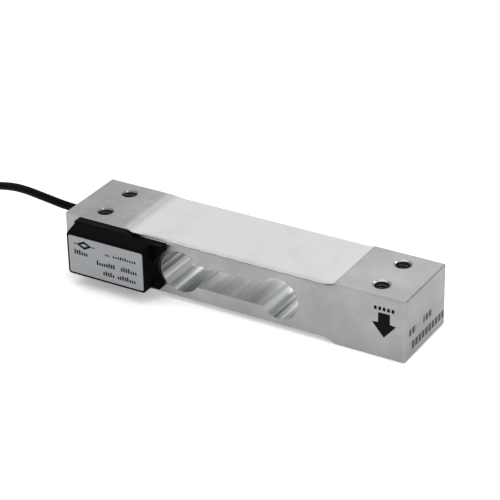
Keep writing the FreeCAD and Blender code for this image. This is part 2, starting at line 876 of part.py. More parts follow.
nodes += [make_seal(), make_board_leads("board_leads")]
sheath, sheath_length, sheath_radii = make_tube("cable_sheath", route, "cable_diameter")
coil = make_coil()
nodes += [sheath, coil]
for label, across, up, splay in (
    ("core_red", 1, 1, 3.9),
    ("core_green", 1, -1, 0.8),
    ("core_white", -1, -1, -0.9),
    ("core_blue", -1, 1, -3.6),
    ("shield_drain", 0, 0, 0),
):
    nodes.append(make_core(label, coil, across, up, splay))

doc.recompute()

for thing in doc.Objects:
    if {"Invalid", "Error"} & set(thing.State):
        raise ValueError(f"{thing.Label} failed: {thing.State}")
for node in nodes:
    if node.Shape.isNull() or not node.Shape.isValid() or not node.Shape.Solids:
        raise ValueError(f"{node.Label} has no valid solid")

os.makedirs("parts", exist_ok=True)
for node in nodes:
    node.Shape.exportStep(f"parts/{node.Label}.step")
    print(node.Label, len(node.Shape.Solids), "solids", round(node.Shape.Volume, 2), "cubic mm")
print("cable radii", [round(radius, 1) for radius in sheath_radii])
print("cable length up to the coil", round(sheath_length, 1))
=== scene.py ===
import json
import math

import bpy
from mathutils import Matrix, Vector


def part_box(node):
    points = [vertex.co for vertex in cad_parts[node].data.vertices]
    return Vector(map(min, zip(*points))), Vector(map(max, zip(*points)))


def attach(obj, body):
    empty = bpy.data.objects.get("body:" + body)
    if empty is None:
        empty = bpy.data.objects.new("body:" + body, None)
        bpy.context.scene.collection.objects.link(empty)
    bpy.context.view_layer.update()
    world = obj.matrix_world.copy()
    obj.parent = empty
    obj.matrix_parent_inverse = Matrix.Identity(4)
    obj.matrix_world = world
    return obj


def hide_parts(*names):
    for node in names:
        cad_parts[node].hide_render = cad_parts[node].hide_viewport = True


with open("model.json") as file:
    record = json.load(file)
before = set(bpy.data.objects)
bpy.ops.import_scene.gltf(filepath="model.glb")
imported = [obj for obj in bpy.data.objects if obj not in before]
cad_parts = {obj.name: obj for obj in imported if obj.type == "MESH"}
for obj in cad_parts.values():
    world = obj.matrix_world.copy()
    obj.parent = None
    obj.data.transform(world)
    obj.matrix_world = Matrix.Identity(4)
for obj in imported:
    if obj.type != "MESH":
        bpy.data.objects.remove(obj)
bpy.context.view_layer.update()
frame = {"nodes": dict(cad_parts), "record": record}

# Single point load cell: a milled beam with its coated gauges, a black side cover and a thin cable.
# Metres, +Z up, the same frame as the solids.

mm = 0.001
beamLow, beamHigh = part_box("beam")
coverLow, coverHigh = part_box("side_cover")
plateLow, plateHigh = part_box("nameplate")
nodes = frame["nodes"]
print("frame loaded:", len(nodes), "nodes")


def hexColour(code):
    # sRGB hex to the linear values that the shaders take
    parts = [int(code[k:k + 2], 16) / 255 for k in (1, 3, 5)]
    return tuple(c / 12.92 if c <= 0.04045 else ((c + 0.055) / 1.055) ** 2.4 for c in parts) + (1,)


def addNode(material, kind, inputs=None, **settings):
    # one node; an input is a plain value, or a (node, output) pair to link from
    node = material.node_tree.nodes.new(kind)
    for name, setting in settings.items():
        setattr(node, name, setting)
    for socket, source in (inputs or {}).items():
        if isinstance(source, tuple) and isinstance(source[0], bpy.types.Node):
            material.node_tree.links.new(source[0].outputs[source[1]], node.inputs[socket])
        else:
            node.inputs[socket].default_value = source
    return node


def newMaterial(name, **values):
    # a material whose shader starts from plain values; Base_Color is a hex colour
    material = bpy.data.materials.new(name)
    material.use_nodes = True
    shader = material.node_tree.nodes["Principled BSDF"]
    for socket, setting in values.items():
        socket = socket.replace("_", " ")
        shader.inputs[socket].default_value = hexColour(setting) if isinstance(setting, str) else setting
    return material, shader


def link(material, source, shader, socket):
    material.node_tree.links.new(source[0].outputs[source[1]], shader.inputs[socket])


def finishPiece(piece, name, material):
    # place and turn go into the mesh, and the piece rides on the one body
    piece.name = name
    piece.data.name = name
    bpy.ops.object.select_all(action="DESELECT")
    piece.select_set(True)
    bpy.context.view_layer.objects.active = piece
    bpy.ops.object.transform_apply(location=True, rotation=True, scale=True)
    piece.data.materials.clear()
    piece.data.materials.append(material)
    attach(piece, "root")
    return piece


def clearSelection():
    bpy.ops.object.select_all(action="DESELECT")


def pick(piece, kind, test):
    # in edit mode: select the edges or faces whose middle and span pass the test
    bpy.ops.mesh.select_mode(type=kind)
    bpy.ops.mesh.select_all(action="DESELECT")
    bpy.ops.object.mode_set(mode="OBJECT")
    mesh = piece.data
    for item in {"EDGE": mesh.edges, "FACE": mesh.polygons}[kind]:
        corners = [mesh.vertices[k].co for k in item.vertices]
        middle = sum(corners, Vector()) / len(corners)
        span = Vector([max(c[k] for c in corners) - min(c[k] for c in corners) for k in range(3)])
        item.select = test(middle, span)
    bpy.ops.object.mode_set(mode="EDIT")


def applyModifier(piece, kind, **settings):
    bpy.context.view_layer.objects.active = piece
    modifier = piece.modifiers.new(kind.lower(), kind)
    for name, setting in settings.items():
        setattr(modifier, name, setting)
    bpy.ops.object.modifier_apply(modifier=modifier.name)


def outwards(piece):
    bpy.context.view_layer.objects.active = piece
    bpy.ops.object.mode_set(mode="EDIT")
    bpy.ops.mesh.select_all(action="SELECT")
    bpy.ops.mesh.remove_doubles(threshold=1e-6)
    bpy.ops.mesh.normals_make_consistent(inside=False)
    bpy.ops.object.mode_set(mode="OBJECT")


# the white coats, which the finishes below also need
coatSet = {
    "ends": (13.5 * mm, 92.3 * mm),  # along the beam
    "setBack": {"top": 0.25 * mm, "bottom": 2.6 * mm},  # from the beam's sides
    "below": 0.22 * mm,  # under the level of the pads
    "recess": (13.5 * mm, 92.5 * mm), "recessDepth": 1.5 * mm, "runOut": 10 * mm,
    "roundedEdge": 0.8 * mm, "lift": 0.22 * mm,  # the rim curls clear of the metal
    # where it ran over the cover's frame above, and over the leads below: place, spread, reach
    "spill": {"top": (17.0 * mm, 2.6 * mm, 1.3 * mm), "bottom": (20.5 * mm, 2.6 * mm, 2.1 * mm)},
    "cuts": (110, 30),
    "fade": 9 * mm,  # from the start to full thickness
    "least": 0.05 * mm, "rimShare": 0.45,  # thinnest skin, and the rim's share of the height
    "skinDrop": 0.002 * mm, "underDrop": 0.004 * mm, "bed": 0.005 * mm,  # so that no face meets the metal's
    "crowding": 1.6, "waver": 0.08 * mm, "waverRate": 900,  # rows near the rim, and its uneven line
    "spillSharpness": 6, "spillSkin": 0.1 * mm, "spillUnder": 0.35 * mm,
}


# finishes

aluminiumSet = {
    "colour": "#9C9D9E", "darker": "#8D8E8F", "cloudSize": 16 * mm,
    "roughness": (0.26, 0.40),
    "feedSpacing": 0.35 * mm,  # cutter marks; coarser than real so that they show
    "feedDepth": 0.008 * mm,
    # the boring bar's chatter, and the bores it shows in: middle and half size along X and Z; its dark and
    # light colours are painted reflection bands, its depth is real relief
    "chatter": 2.6 * mm, "boreReflectionDark": "#76787A", "boreReflectionLight": "#F4F5F6", "chatterDepth": 0.10 * mm,
    "bores": ((53 * mm, 28 * mm), (11.25 * mm, 8.6 * mm)),
    # the slot's colours: painted light against the shade in the slot, with painted reflection bands
    "slot": (53 * mm, 11.5 * mm), "slotReflectionDark": "#AEAFB0", "slotReflectionLight": "#CECFD0",
    "edgeRound": 0.25 * mm,
    "endFaceShade": "#EBEBEB",  # painted shade: the end face's colour is made a shade darker
    "skin": 0.05 * mm,  # how near to a face its own marks start
}


def maskWhere(material, *tests):
    # 1 where every test holds; a test is an operation with what it takes, or a mask made before
    mask = None
    for test in tests:
        if isinstance(test[0], str):
            operation, *taken = test
            test = (addNode(material, "ShaderNodeMath", dict(enumerate(taken)), operation=operation), 0)
        if mask is not None:
            test = (addNode(material, "ShaderNodeMath", {0: mask, 1: test}, operation="MULTIPLY"), 0)
        mask = test
    return mask


endMarkSet = {
    "ink": "#0C0C0D",
    # boxes of dashes on the load end: (middle, half) across and up the face
    "boxes": [((-9.3 * mm, 2.4 * mm), (9.7 * mm, 1.25 * mm)),
              ((1.6 * mm, 3.2 * mm), (9.7 * mm, 1.25 * mm)),
              ((2.0 * mm, 11.6 * mm), (4.4 * mm, 1.4 * mm))],
    "dash": 1.85 * mm, "gap": 0.55 * mm,
}


def endMarks(material, axes):
    # plain even dashes in two rows: 1 where there is ink
    pitch = endMarkSet["dash"] + endMarkSet["gap"]
    phase = addNode(
        material, "ShaderNodeMath", {0: (axes, "Y"), 1: pitch}, operation="FLOORED_MODULO")
    dashes = maskWhere(
        material, ("GREATER_THAN", (axes, "X"), beamHigh.x - aluminiumSet["skin"]),
        ("LESS_THAN", (phase, 0), endMarkSet["dash"]))
    boxes = None
    for (acrossMiddle, acrossHalf), (upMiddle, upHalf) in endMarkSet["boxes"]:
        box = maskWhere(
            material, ("COMPARE", (axes, "Y"), acrossMiddle, acrossHalf),
            ("COMPARE", (axes, "Z"), upMiddle, upHalf))
        if boxes is not None:
            box = (addNode(material, "ShaderNodeMath", {0: boxes, 1: box}, operation="MAXIMUM"), 0)
        boxes = box
    return maskWhere(material, dashes, boxes)


smearSet = {"from": 10.9 * mm, "to": 13.5 * mm, "past": 50 * mm, "size": 3 * mm, "most": 0.62}


def coatSmear(material, place, axes):
    # silicone brushed thinly over the edge of the pad: 1 where it is white
    nearRecess = addNode(
        material, "ShaderNodeMapRange",
        {"Value": (axes, "X"), "From Min": smearSet["from"], "From Max": smearSet["to"]})
    noise = addNode(
        material, "ShaderNodeTexNoise",
        {"Vector": (place, "Object"), "Scale": 1 / smearSet["size"], "Detail": 3.0})
    ragged = addNode(
        material, "ShaderNodeMapRange",
        {"Value": (noise, 0), "From Min": 0.3, "From Max": 0.7, "To Min": -0.2, "To Max": 0.2})
    nearness = addNode(material, "ShaderNodeMath", {0: (nearRecess, 0), 1: (ragged, 0)}, operation="ADD")
    edge = addNode(material, "ShaderNodeMapRange", {"Value": (nearness, 0), "To Max": smearSet["most"]})
    return maskWhere(
        material, ("GREATER_THAN", (axes, "Z"), beamHigh.z - aluminiumSet["skin"]),
        ("LESS_THAN", (axes, "X"), smearSet["past"]), (edge, 0))


def machinedAluminium():
    # milled aluminium bar: satin grey, fine feed marks on its faces, streaks of chatter in the bores,
    # coloured there as painted reflection bands
    material, shader = newMaterial("machined aluminium")
    place = addNode(material, "ShaderNodeTexCoord")
    axes = addNode(material, "ShaderNodeSeparateXYZ", {0: (place, "Object")})
    facing = addNode(material, "ShaderNodeSeparateXYZ", {0: (place, "Normal")})
    sideways = addNode(material, "ShaderNodeMath", {0: (facing, "Y")}, operation="ABSOLUTE")
    (alongMiddle, alongHalf), (upMiddle, upHalf) = aluminiumSet["bores"]
    inBore = maskWhere(
        material, ("LESS_THAN", (sideways, 0), 0.5), ("COMPARE", (axes, "X"), alongMiddle, alongHalf),
        ("COMPARE", (axes, "Z"), upMiddle, upHalf))

    # broad soft clouds, as a hand-wiped satin face shows
    clouds = addNode(
        material, "ShaderNodeTexNoise",
        {"Vector": (place, "Object"), "Scale": 1 / aluminiumSet["cloudSize"], "Detail": 3.0,
         "Roughness": 0.6})
    faceTone = addNode(material, "ShaderNodeValToRGB", {"Fac": (clouds, 0)})
    faceTone.color_ramp.elements[0].position, faceTone.color_ramp.elements[1].position = 0.35, 0.65
    faceTone.color_ramp.elements[0].color = hexColour(aluminiumSet["darker"])
    faceTone.color_ramp.elements[1].color = hexColour(aluminiumSet["colour"])

    # chatter runs straight across the bar, along Y; the bores' colour follows it as painted reflection bands,
    # from dark grey to near white
    chatter = aluminiumSet["chatter"]
    across = addNode(
        material, "ShaderNodeMapping",
        {"Vector": (place, "Object"), "Scale": (1 / chatter, 0.02 / chatter, 1 / chatter)})
    streaks = addNode(
        material, "ShaderNodeTexNoise",
        {"Vector": (across, 0), "Scale": 1.0, "Detail": 3.0, "Roughness": 0.5})
    # painted reflection: streaked colour bands on the bore walls
    boreReflectionBands = addNode(material, "ShaderNodeValToRGB", {"Fac": (streaks, 0)})
    boreReflectionBands.color_ramp.elements[0].position, boreReflectionBands.color_ramp.elements[1].position = 0.36, 0.64
    boreReflectionBands.color_ramp.elements[0].color = hexColour(aluminiumSet["boreReflectionDark"])
    boreReflectionBands.color_ramp.elements[1].color = hexColour(aluminiumSet["boreReflectionLight"])
    # the slot between the bores was milled, and is the more even; its colour is painted lighter against the
    # shade in the slot, with painted reflection bands
    inSlot = maskWhere(material, ("COMPARE", (axes, "X"), *aluminiumSet["slot"]))
    slotReflectionBands = addNode(material, "ShaderNodeValToRGB", {"Fac": (streaks, 0)})
    slotReflectionBands.color_ramp.elements[0].position, slotReflectionBands.color_ramp.elements[1].position = 0.36, 0.64
    slotReflectionBands.color_ramp.elements[0].color = hexColour(aluminiumSet["slotReflectionDark"])
    slotReflectionBands.color_ramp.elements[1].color = hexColour(aluminiumSet["slotReflectionLight"])
    # painted reflection bands on the walls: the bores' and the slot's
    wallReflectionBands = addNode(
        material, "ShaderNodeMix", {0: inSlot, 6: (boreReflectionBands, 0), 7: (slotReflectionBands, 0)}, data_type="RGBA")
    metal = addNode(
        material, "ShaderNodeMix", {0: inBore, 6: (faceTone, 0), 7: (wallReflectionBands, 2)}, data_type="RGBA")

    # painted shade: the load end face is multiplied darker
    onEnd = maskWhere(material, ("GREATER_THAN", (axes, "X"), beamHigh.x - aluminiumSet["skin"]))
    metal = addNode(
        material, "ShaderNodeMix",
        {0: onEnd, 6: (metal, 2), 7: hexColour(aluminiumSet["endFaceShade"])},
        data_type="RGBA", blend_type="MULTIPLY")

    # feed marks along the bar
    spacing = aluminiumSet["feedSpacing"]
    along = addNode(
        material, "ShaderNodeMapping",
        {"Vector": (place, "Object"), "Scale": (0.04 / spacing, 1 / spacing, 1 / spacing)})
    feed = addNode(material, "ShaderNodeTexNoise", {"Vector": (along, 0), "Scale": 1.0, "Detail": 3.0})

    # over the metal: the end marks, and the smear of coating beside the recess
    ink, smear = endMarks(material, axes), coatSmear(material, place, axes)
    inked = addNode(
        material, "ShaderNodeMix",
        {0: ink, 6: (metal, 2), 7: hexColour(endMarkSet["ink"])}, data_type="RGBA")
    smeared = addNode(
        material, "ShaderNodeMix",
        {0: smear, 6: (inked, 2), 7: hexColour(siliconeSet["colour"])}, data_type="RGBA")
    bare = addNode(material, "ShaderNodeMath", {0: 1.0, 1: smear}, operation="SUBTRACT")
    link(material, (smeared, 2), shader, "Base Color")
    link(material, (bare, 0), shader, "Metallic")
    low, high = aluminiumSet["roughness"]
    rough = addNode(material, "ShaderNodeMapRange", {"Value": (feed, 0), "To Min": low, "To Max": high})
    link(material, (rough, 0), shader, "Roughness")

    # broken edges catch the light; then the marks' own relief
    rounded = addNode(material, "ShaderNodeBevel", {"Radius": aluminiumSet["edgeRound"]}, samples=6)
    fine = addNode(
        material, "ShaderNodeBump",
        {"Height": (feed, 0), "Distance": aluminiumSet["feedDepth"], "Normal": (rounded, 0)})
    notSlot = addNode(
        material, "ShaderNodeMapRange", {"Value": inSlot, "To Min": 1.0, "To Max": 0.3})
    ridges = maskWhere(material, (streaks, 0), inBore, (notSlot, 0))
    coarse = addNode(
        material, "ShaderNodeBump",
        {"Height": ridges, "Distance": aluminiumSet["chatterDepth"], "Normal": (fine, 0)})
    link(material, (coarse, 0), shader, "Normal")
    return material


siliconeSet = {
    # start: painted shade over the run-out arc where the coat begins
    "colour": "#BEBEBE", "thin": "#B8B8B8", "start": "#A2A2A2", "shadedStartLength": 3.4 * mm,
    "roughness": 0.5, "rippleSize": 11 * mm, "rippleDepth": 0.05 * mm,
}


def whiteSilicone():
    # brushed-on silicone rubber: matt white with a slow ripple, greyer where it is thin, and with painted
    # shade where it starts
    material, shader = newMaterial("white silicone coat", Roughness=siliconeSet["roughness"])
    place = addNode(material, "ShaderNodeTexCoord")
    ripple = addNode(
        material, "ShaderNodeTexNoise",
        {"Vector": (place, "Object"), "Scale": 1 / siliconeSet["rippleSize"], "Detail": 2.0})
    tone = addNode(material, "ShaderNodeValToRGB", {"Fac": (ripple, 0)})
    tone.color_ramp.elements[0].position, tone.color_ramp.elements[1].position = 0.3, 0.5
    tone.color_ramp.elements[0].color = hexColour(siliconeSet["thin"])
    tone.color_ramp.elements[1].color = hexColour(siliconeSet["colour"])
    # painted shade: greyer where it starts, over the run-out arc, where the thin skin also lies over the
    # metal
    axes = addNode(material, "ShaderNodeSeparateXYZ", {0: (place, "Object")})
    start = coatSet["ends"][0]
    full = addNode(
        material, "ShaderNodeMapRange",
        {"Value": (axes, "X"), "From Min": start, "From Max": start + siliconeSet["shadedStartLength"]},
        interpolation_type="SMOOTHSTEP")
    shadedStartTone = addNode(
        material, "ShaderNodeMix",
        {0: (full, 0), 6: hexColour(siliconeSet["start"]), 7: (tone, 0)}, data_type="RGBA")
    link(material, (shadedStartTone, 2), shader, "Base Color")
    bump = addNode(
        material, "ShaderNodeBump", {"Height": (ripple, 0), "Distance": siliconeSet["rippleDepth"]})
    link(material, (bump, 0), shader, "Normal")
    return material


def grainedFinish(name, darker, lighter, roughness, grain, depth, metallic=0.0, gloss=0.5, edge=0.0):
    # one colour with a fine grain that breaks up its highlights; gloss 0.5 is plain plastic
    material, shader = newMaterial(name, Metallic=metallic)
    shader.inputs["Specular IOR Level"].default_value = gloss
    place = addNode(material, "ShaderNodeTexCoord")
    texture = addNode(
        material, "ShaderNodeTexNoise", {"Vector": (place, "Object"), "Scale": 1 / grain, "Detail": 2.0})
    tone = addNode(material, "ShaderNodeValToRGB", {"Fac": (texture, 0)})
    tone.color_ramp.elements[0].position, tone.color_ramp.elements[1].position = 0.3, 0.7
    tone.color_ramp.elements[0].color = hexColour(darker)
    tone.color_ramp.elements[1].color = hexColour(lighter)
    link(material, (tone, 0), shader, "Base Color")
    rough = addNode(
        material, "ShaderNodeMapRange",
        {"Value": (texture, 0), "To Min": roughness - 0.08, "To Max": roughness + 0.08})
    link(material, (rough, 0), shader, "Roughness")
    bump = addNode(material, "ShaderNodeBump", {"Height": (texture, 0), "Distance": depth})
    if edge:
        rounded = addNode(material, "ShaderNodeBevel", {"Radius": edge}, samples=4)
        link(material, (rounded, 0), bump, "Normal")
    link(material, (bump, 0), shader, "Normal")
    return material


plateSet = {"darker": "#808284", "lighter": "#96989A", "roughness": (0.38, 0.5), "grain": 0.15 * mm}


def satinPlate():
    # thin rolled aluminium label: satin, with the rolling grain along its length
    material, shader = newMaterial("satin label plate", Metallic=0.9)
    place = addNode(material, "ShaderNodeTexCoord")
    grain = plateSet["grain"]
    stretched = addNode(
        material, "ShaderNodeMapping",
        {"Vector": (place, "Object"), "Scale": (0.03 / grain, 1 / grain, 1 / grain)})
    texture = addNode(
        material, "ShaderNodeTexNoise", {"Vector": (stretched, 0), "Scale": 1.0, "Detail": 2.0})
    tone = addNode(material, "ShaderNodeValToRGB", {"Fac": (texture, 0)})
    tone.color_ramp.elements[0].color = hexColour(plateSet["darker"])
    tone.color_ramp.elements[1].color = hexColour(plateSet["lighter"])
    link(material, (tone, 0), shader, "Base Color")
    low, high = plateSet["roughness"]
    rough = addNode(material, "ShaderNodeMapRange", {"Value": (texture, 0), "To Min": low, "To Max": high})
    link(material, (rough, 0), shader, "Roughness")
    return material


aluminium = machinedAluminium()
silicone = whiteSilicone()
labelPlate = satinPlate()
# moulded ABS with a spark-eroded grain, so its blacks stay deep and only its edges catch the light
blackPlastic = grainedFinish(
    "moulded black ABS", "#020202", "#070708", 0.5, 0.25 * mm, 0.005 * mm, gloss=0.03, edge=0.25 * mm)
# extruded PVC: black, with a soft sheen
cableJacket = grainedFinish("black PVC jacket", "#020202", "#070707", 0.5, 0.5 * mm, 0.008 * mm, gloss=0.03)
# poured compound: glossier than the jacket, with a lumpy skin
sealant = grainedFinish("black sealing compound", "#050505", "#0D0D0D", 0.3, 0.9 * mm, 0.05 * mm, gloss=0.25)
# tapped aluminium, coloured dark as painted shade inside the holes, with bright crests
threadPaintedShade = grainedFinish("thread in painted shade", "#29292A", "#4C4C4D", 0.28, 0.2 * mm, 0.003 * mm, 1.0)
# pad-printed ink: flat black
blackInk = grainedFinish("black printing ink", "#050505", "#101010", 0.6, 0.1 * mm, 0.002 * mm, gloss=0.05)
finishes = {
    "machined_aluminium": aluminium,
    "white_silicone": silicone,
    "satin_plate": labelPlate,
    "black_plastic": blackPlastic,
    "cable_jacket": cableJacket,
    "sealing_compound": sealant,
    # etched constantan seen through amber polyimide
    "gauge_foil": grainedFinish("gauge foil", "#8E5F22", "#C8954A", 0.35, 0.3 * mm, 0.004 * mm),
    # copper under clear red-brown enamel
    "enamelled_wire": grainedFinish("enamelled copper", "#6E3418", "#A0562A", 0.3, 0.3 * mm, 0.004 * mm, 0.5),
    # solder mask over glass cloth
    "circuit_board": grainedFinish("green solder mask", "#174A29", "#216338", 0.4, 0.4 * mm, 0.006 * mm),
    "resistor_body": grainedFinish("glazed resistor body", "#131316", "#222226", 0.35, 0.2 * mm, 0.003 * mm),
    "core_insulation": grainedFinish("core insulation", "#7E2A26", "#963A34", 0.42, 0.3 * mm, 0.004 * mm),
    "red_insulation": grainedFinish("red PVC core", "#8F1410", "#A81C16", 0.42, 0.3 * mm, 0.004 * mm),
    "green_insulation": grainedFinish("green PVC core", "#0F5224", "#15662F", 0.42, 0.3 * mm, 0.004 * mm),
    "white_insulation": grainedFinish("white PVC core", "#C6C6C2", "#D6D6D2", 0.42, 0.3 * mm, 0.004 * mm),
    "blue_insulation": grainedFinish("blue PVC core", "#122A78", "#18358F", 0.42, 0.3 * mm, 0.004 * mm),
    # stranded copper, tinned dull grey
    "tinned_wire": grainedFinish("tinned copper", "#8F8F8B", "#B4B4AF", 0.38, 0.15 * mm, 0.006 * mm, 1.0),
}
for part in frame["record"]["subparts"]:
    carried = nodes[part["node"]]
    carried.data.materials.clear()
    carried.data.materials.append(finishes[part["material_slot"]])
print("finishes made:", len(finishes))


# camera, a little above the beam and off its load end

cameraSet = {
    "azimuth": 31.0, "elevation": 28.56, "roll": 1.215, "distance": 0.68126, "lens": 146.24,
    "aimFromBeamMiddle": (-0.00153, 0.00216, 0.00486),
}


def makeCamera():
    turn, rise = math.radians(cameraSet["azimuth"]), math.radians(cameraSet["elevation"])
    back = Vector((math.sin(turn) * math.cos(rise), -math.cos(turn) * math.cos(rise), math.sin(rise)))
    aim = (beamLow + beamHigh) / 2 + Vector(cameraSet["aimFromBeamMiddle"])
    data = bpy.data.cameras.new("camera")
    data.lens = cameraSet["lens"]
    data.clip_start, data.clip_end = 0.01, 20
    camera = bpy.data.objects.new("camera", data)
    bpy.context.scene.collection.objects.link(camera)
    camera.location = aim + back * cameraSet["distance"]
    camera.rotation_mode = "QUATERNION"
    level = (-back).to_track_quat("-Z", "Y")
    roll = Matrix.Rotation(math.radians(-cameraSet["roll"]), 4, "Z")
    camera.rotation_quaternion = level @ roll.to_quaternion()
    bpy.context.scene.camera = camera


makeCamera()
print("camera set")


# cable: out of the beam's end, down to the floor and into its put-away coil

cableSet = {
    "diameter": 3.0 * mm,
    "exit": (-12.0 * mm, 0.0, 15.5 * mm),
    "turnRadii": (18.0 * mm, 15.0 * mm),  # outer and inner turns of the coil
    "levels": (4.5 * mm, 1.5 * mm),  # upper and lower turns
    "lead": 11.5 * mm,  # straight stretch at either end of the coil
    "pointsPerTurn": 24,
    "sweep": (90, 1260),  # degrees, from the top of the coil to its last turn
    "stepIn": 360, "stepDown": 630, "stepOut": 900, "stepLength": 90,
    "length": 0.4450,
}
# the route's points from where the cable leaves the beam
cableRoute = [
    (6.5, 0.0, 0.0), (-8.0, 0.0, 0.0), (-22.4, 3.2, -0.5), (-36.0, 7.9, -2.4),
    (-47.0, 12.0, -6.0), (-57.0, 15.0, -9.7), (-65.0, 16.7, -11.0), (-71.9, 18.04, -11.0),
]


def ease(share):
    share = min(max(share, 0.0), 1.0)
    return share * share * (3 - 2 * share)


def coilPoints(start, heading):
    # the cable comes in over the outer turn, steps inwards, drops and comes out along the floor
    outer, inner = cableSet["turnRadii"]
    high, low = cableSet["levels"]
    step = 360 / cableSet["pointsPerTurn"]
    swell = 1 / math.cos(math.radians(step / 2))  # the curve cuts inside its control points
    middle = start - heading @ Vector((cableSet["lead"], outer, high))
    points = []
    first, last = cableSet["sweep"]
    taken = cableSet["stepLength"]
    for k in range(round((last - first) / step) + 1):
        angle = first + k * step
        inwards = ease((angle - cableSet["stepIn"]) / taken) - ease((angle - cableSet["stepOut"]) / taken)
        radius = (outer + (inner - outer) * inwards) * swell
        height = high + (low - high) * ease((angle - cableSet["stepDown"]) / taken)
        turn = math.radians(angle)
        points.append(middle + heading @ Vector((radius * math.cos(turn), radius * math.sin(turn), height)))
    points.append(middle + heading @ Vector((-outer, -cableSet["lead"], low)))
    return points


def makeCable():
    leave = Vector(cableSet["exit"])
    route = [leave + Vector(place) * mm for place in cableRoute]
    heading = Vector((-1, 0, 0)).rotation_difference(route[-1] - route[-2]).to_matrix()
    points = route + coilPoints(route[-1], heading)
    data = bpy.data.curves.new("cable", "CURVE")
    data.dimensions = "3D"
    data.bevel_depth = cableSet["diameter"] / 2
    data.bevel_resolution = 7
    data.use_fill_caps = True
    spline = data.splines.new("NURBS")
    spline.points.add(len(points) - 1)
    for point, place in zip(spline.points, points):
        point.co = (*place, 1)
    spline.order_u = 3
    spline.use_endpoint_u = True
    spline.resolution_u = 10
    cable = bpy.data.objects.new("cable", data)
    bpy.context.scene.collection.objects.link(cable)
    data.materials.append(cableJacket)
    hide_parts("cable_sheath", "cable_coil")
    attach(cable, "root")


makeCable()
print("cable laid")


# white coat over the gauges, above and below


def recessFloor(x):
    # depth under the pads: a flat with a cutter's arc at either end
    start, end = coatSet["recess"]
    deep, radius = coatSet["recessDepth"], coatSet["runOut"]
    flat = math.sqrt(2 * radius * deep - deep * deep)
    fromEnd = min(x - start, end - x)
    if fromEnd >= flat:
        return deep
    return math.sqrt(radius * radius - (flat - max(fromEnd, 0)) ** 2) - (radius - deep)


def coatHeights(x, fromSide):
    # the skin and the underside at a point, measured down from the pads
    start, least, rim = coatSet["ends"][0], coatSet["least"], coatSet["rimShare"]
    floor = -recessFloor(x)
    level = -coatSet["below"] * ease((x - start) / coatSet["fade"])
    turn = 1 - min(fromSide / coatSet["roundedEdge"], 1)
    rounding = rim + (1 - rim) * math.sqrt(1 - turn * turn)
    skin = floor + (max(level, floor + least) - floor) * rounding
    under = floor + min(coatSet["lift"] * turn * turn, (skin - floor) * 0.6) + coatSet["bed"]
    return min(skin, -coatSet["skinDrop"]), min(under, -coatSet["underDrop"])


def makeCoat(name, side, node):
    # a soft sheet with a rounded rim, thick over the recess and running out to nothing at its ends
    start, end = coatSet["ends"]
    halfWidth = (beamHigh.y - beamLow.y) / 2 - coatSet["setBack"][side]
    tall = 1 * mm
    clearSelection()
    bpy.ops.mesh.primitive_grid_add(
        x_subdivisions=coatSet["cuts"][0], y_subdivisions=coatSet["cuts"][1], size=1,
        location=((start + end) / 2, 0, 0))
    coat = bpy.context.object
    coat.scale = (end - start, halfWidth * 2, 1)
    bpy.ops.object.transform_apply(location=True, rotation=False, scale=True)
    bpy.ops.object.mode_set(mode="EDIT")
    bpy.ops.mesh.select_all(action="SELECT")
    bpy.ops.mesh.extrude_region_move(TRANSFORM_OT_translate={"value": (0, 0, tall)})
    bpy.ops.object.mode_set(mode="OBJECT")
    spillPlace, spillSpread, spillReach = coatSet["spill"][side]
    for vertex in coat.data.vertices:
        x, y, z = vertex.co
        # rows crowd towards the sides, where the rim is
        share = max(-1.0, min(1.0, y / halfWidth))
        y = halfWidth * math.copysign(1 - (1 - abs(share)) ** coatSet["crowding"], share)
        skin, under = coatHeights(x, halfWidth - abs(y))
        y += coatSet["waver"] * math.sin(x * coatSet["waverRate"]) * share
        if y < 0:
            sharpness = coatSet["spillSharpness"]
            spill = math.exp(-((x - spillPlace) / spillSpread) ** 2) * max(0, -share) ** sharpness
            y -= spillReach * spill
            if side == "top":
                skin = skin * (1 - spill) - coatSet["spillSkin"] * spill
                under = under * (1 - spill) - coatSet["spillUnder"] * spill
        vertex.co = (x, y, skin if z > tall / 2 else under)
    coat.location.z = beamHigh.z if side == "top" else 0
    coat.scale.z = 1 if side == "top" else -1
    finishPiece(coat, name, silicone)
    outwards(coat)
    bpy.ops.object.shade_smooth_by_angle(angle=math.radians(60))
    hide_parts(node)


makeCoat("top_silicone_coat", "top", "top_coating")
makeCoat("bottom_silicone_coat", "bottom", "bottom_coating")
print("coats spread")


# side cover's lid: drafted top, rounded corners and a groove where it meets the frame

lidSet = {
    "parting": -18.0 * mm, "rise": 1.4 * mm, "corner": 1.3 * mm, "frontRound": 0.4 * mm, "groove": 0.3 * mm,
    "seatMargin": 0.3 * mm, "seatDepth": 0.1 * mm, "segments": 6,
}


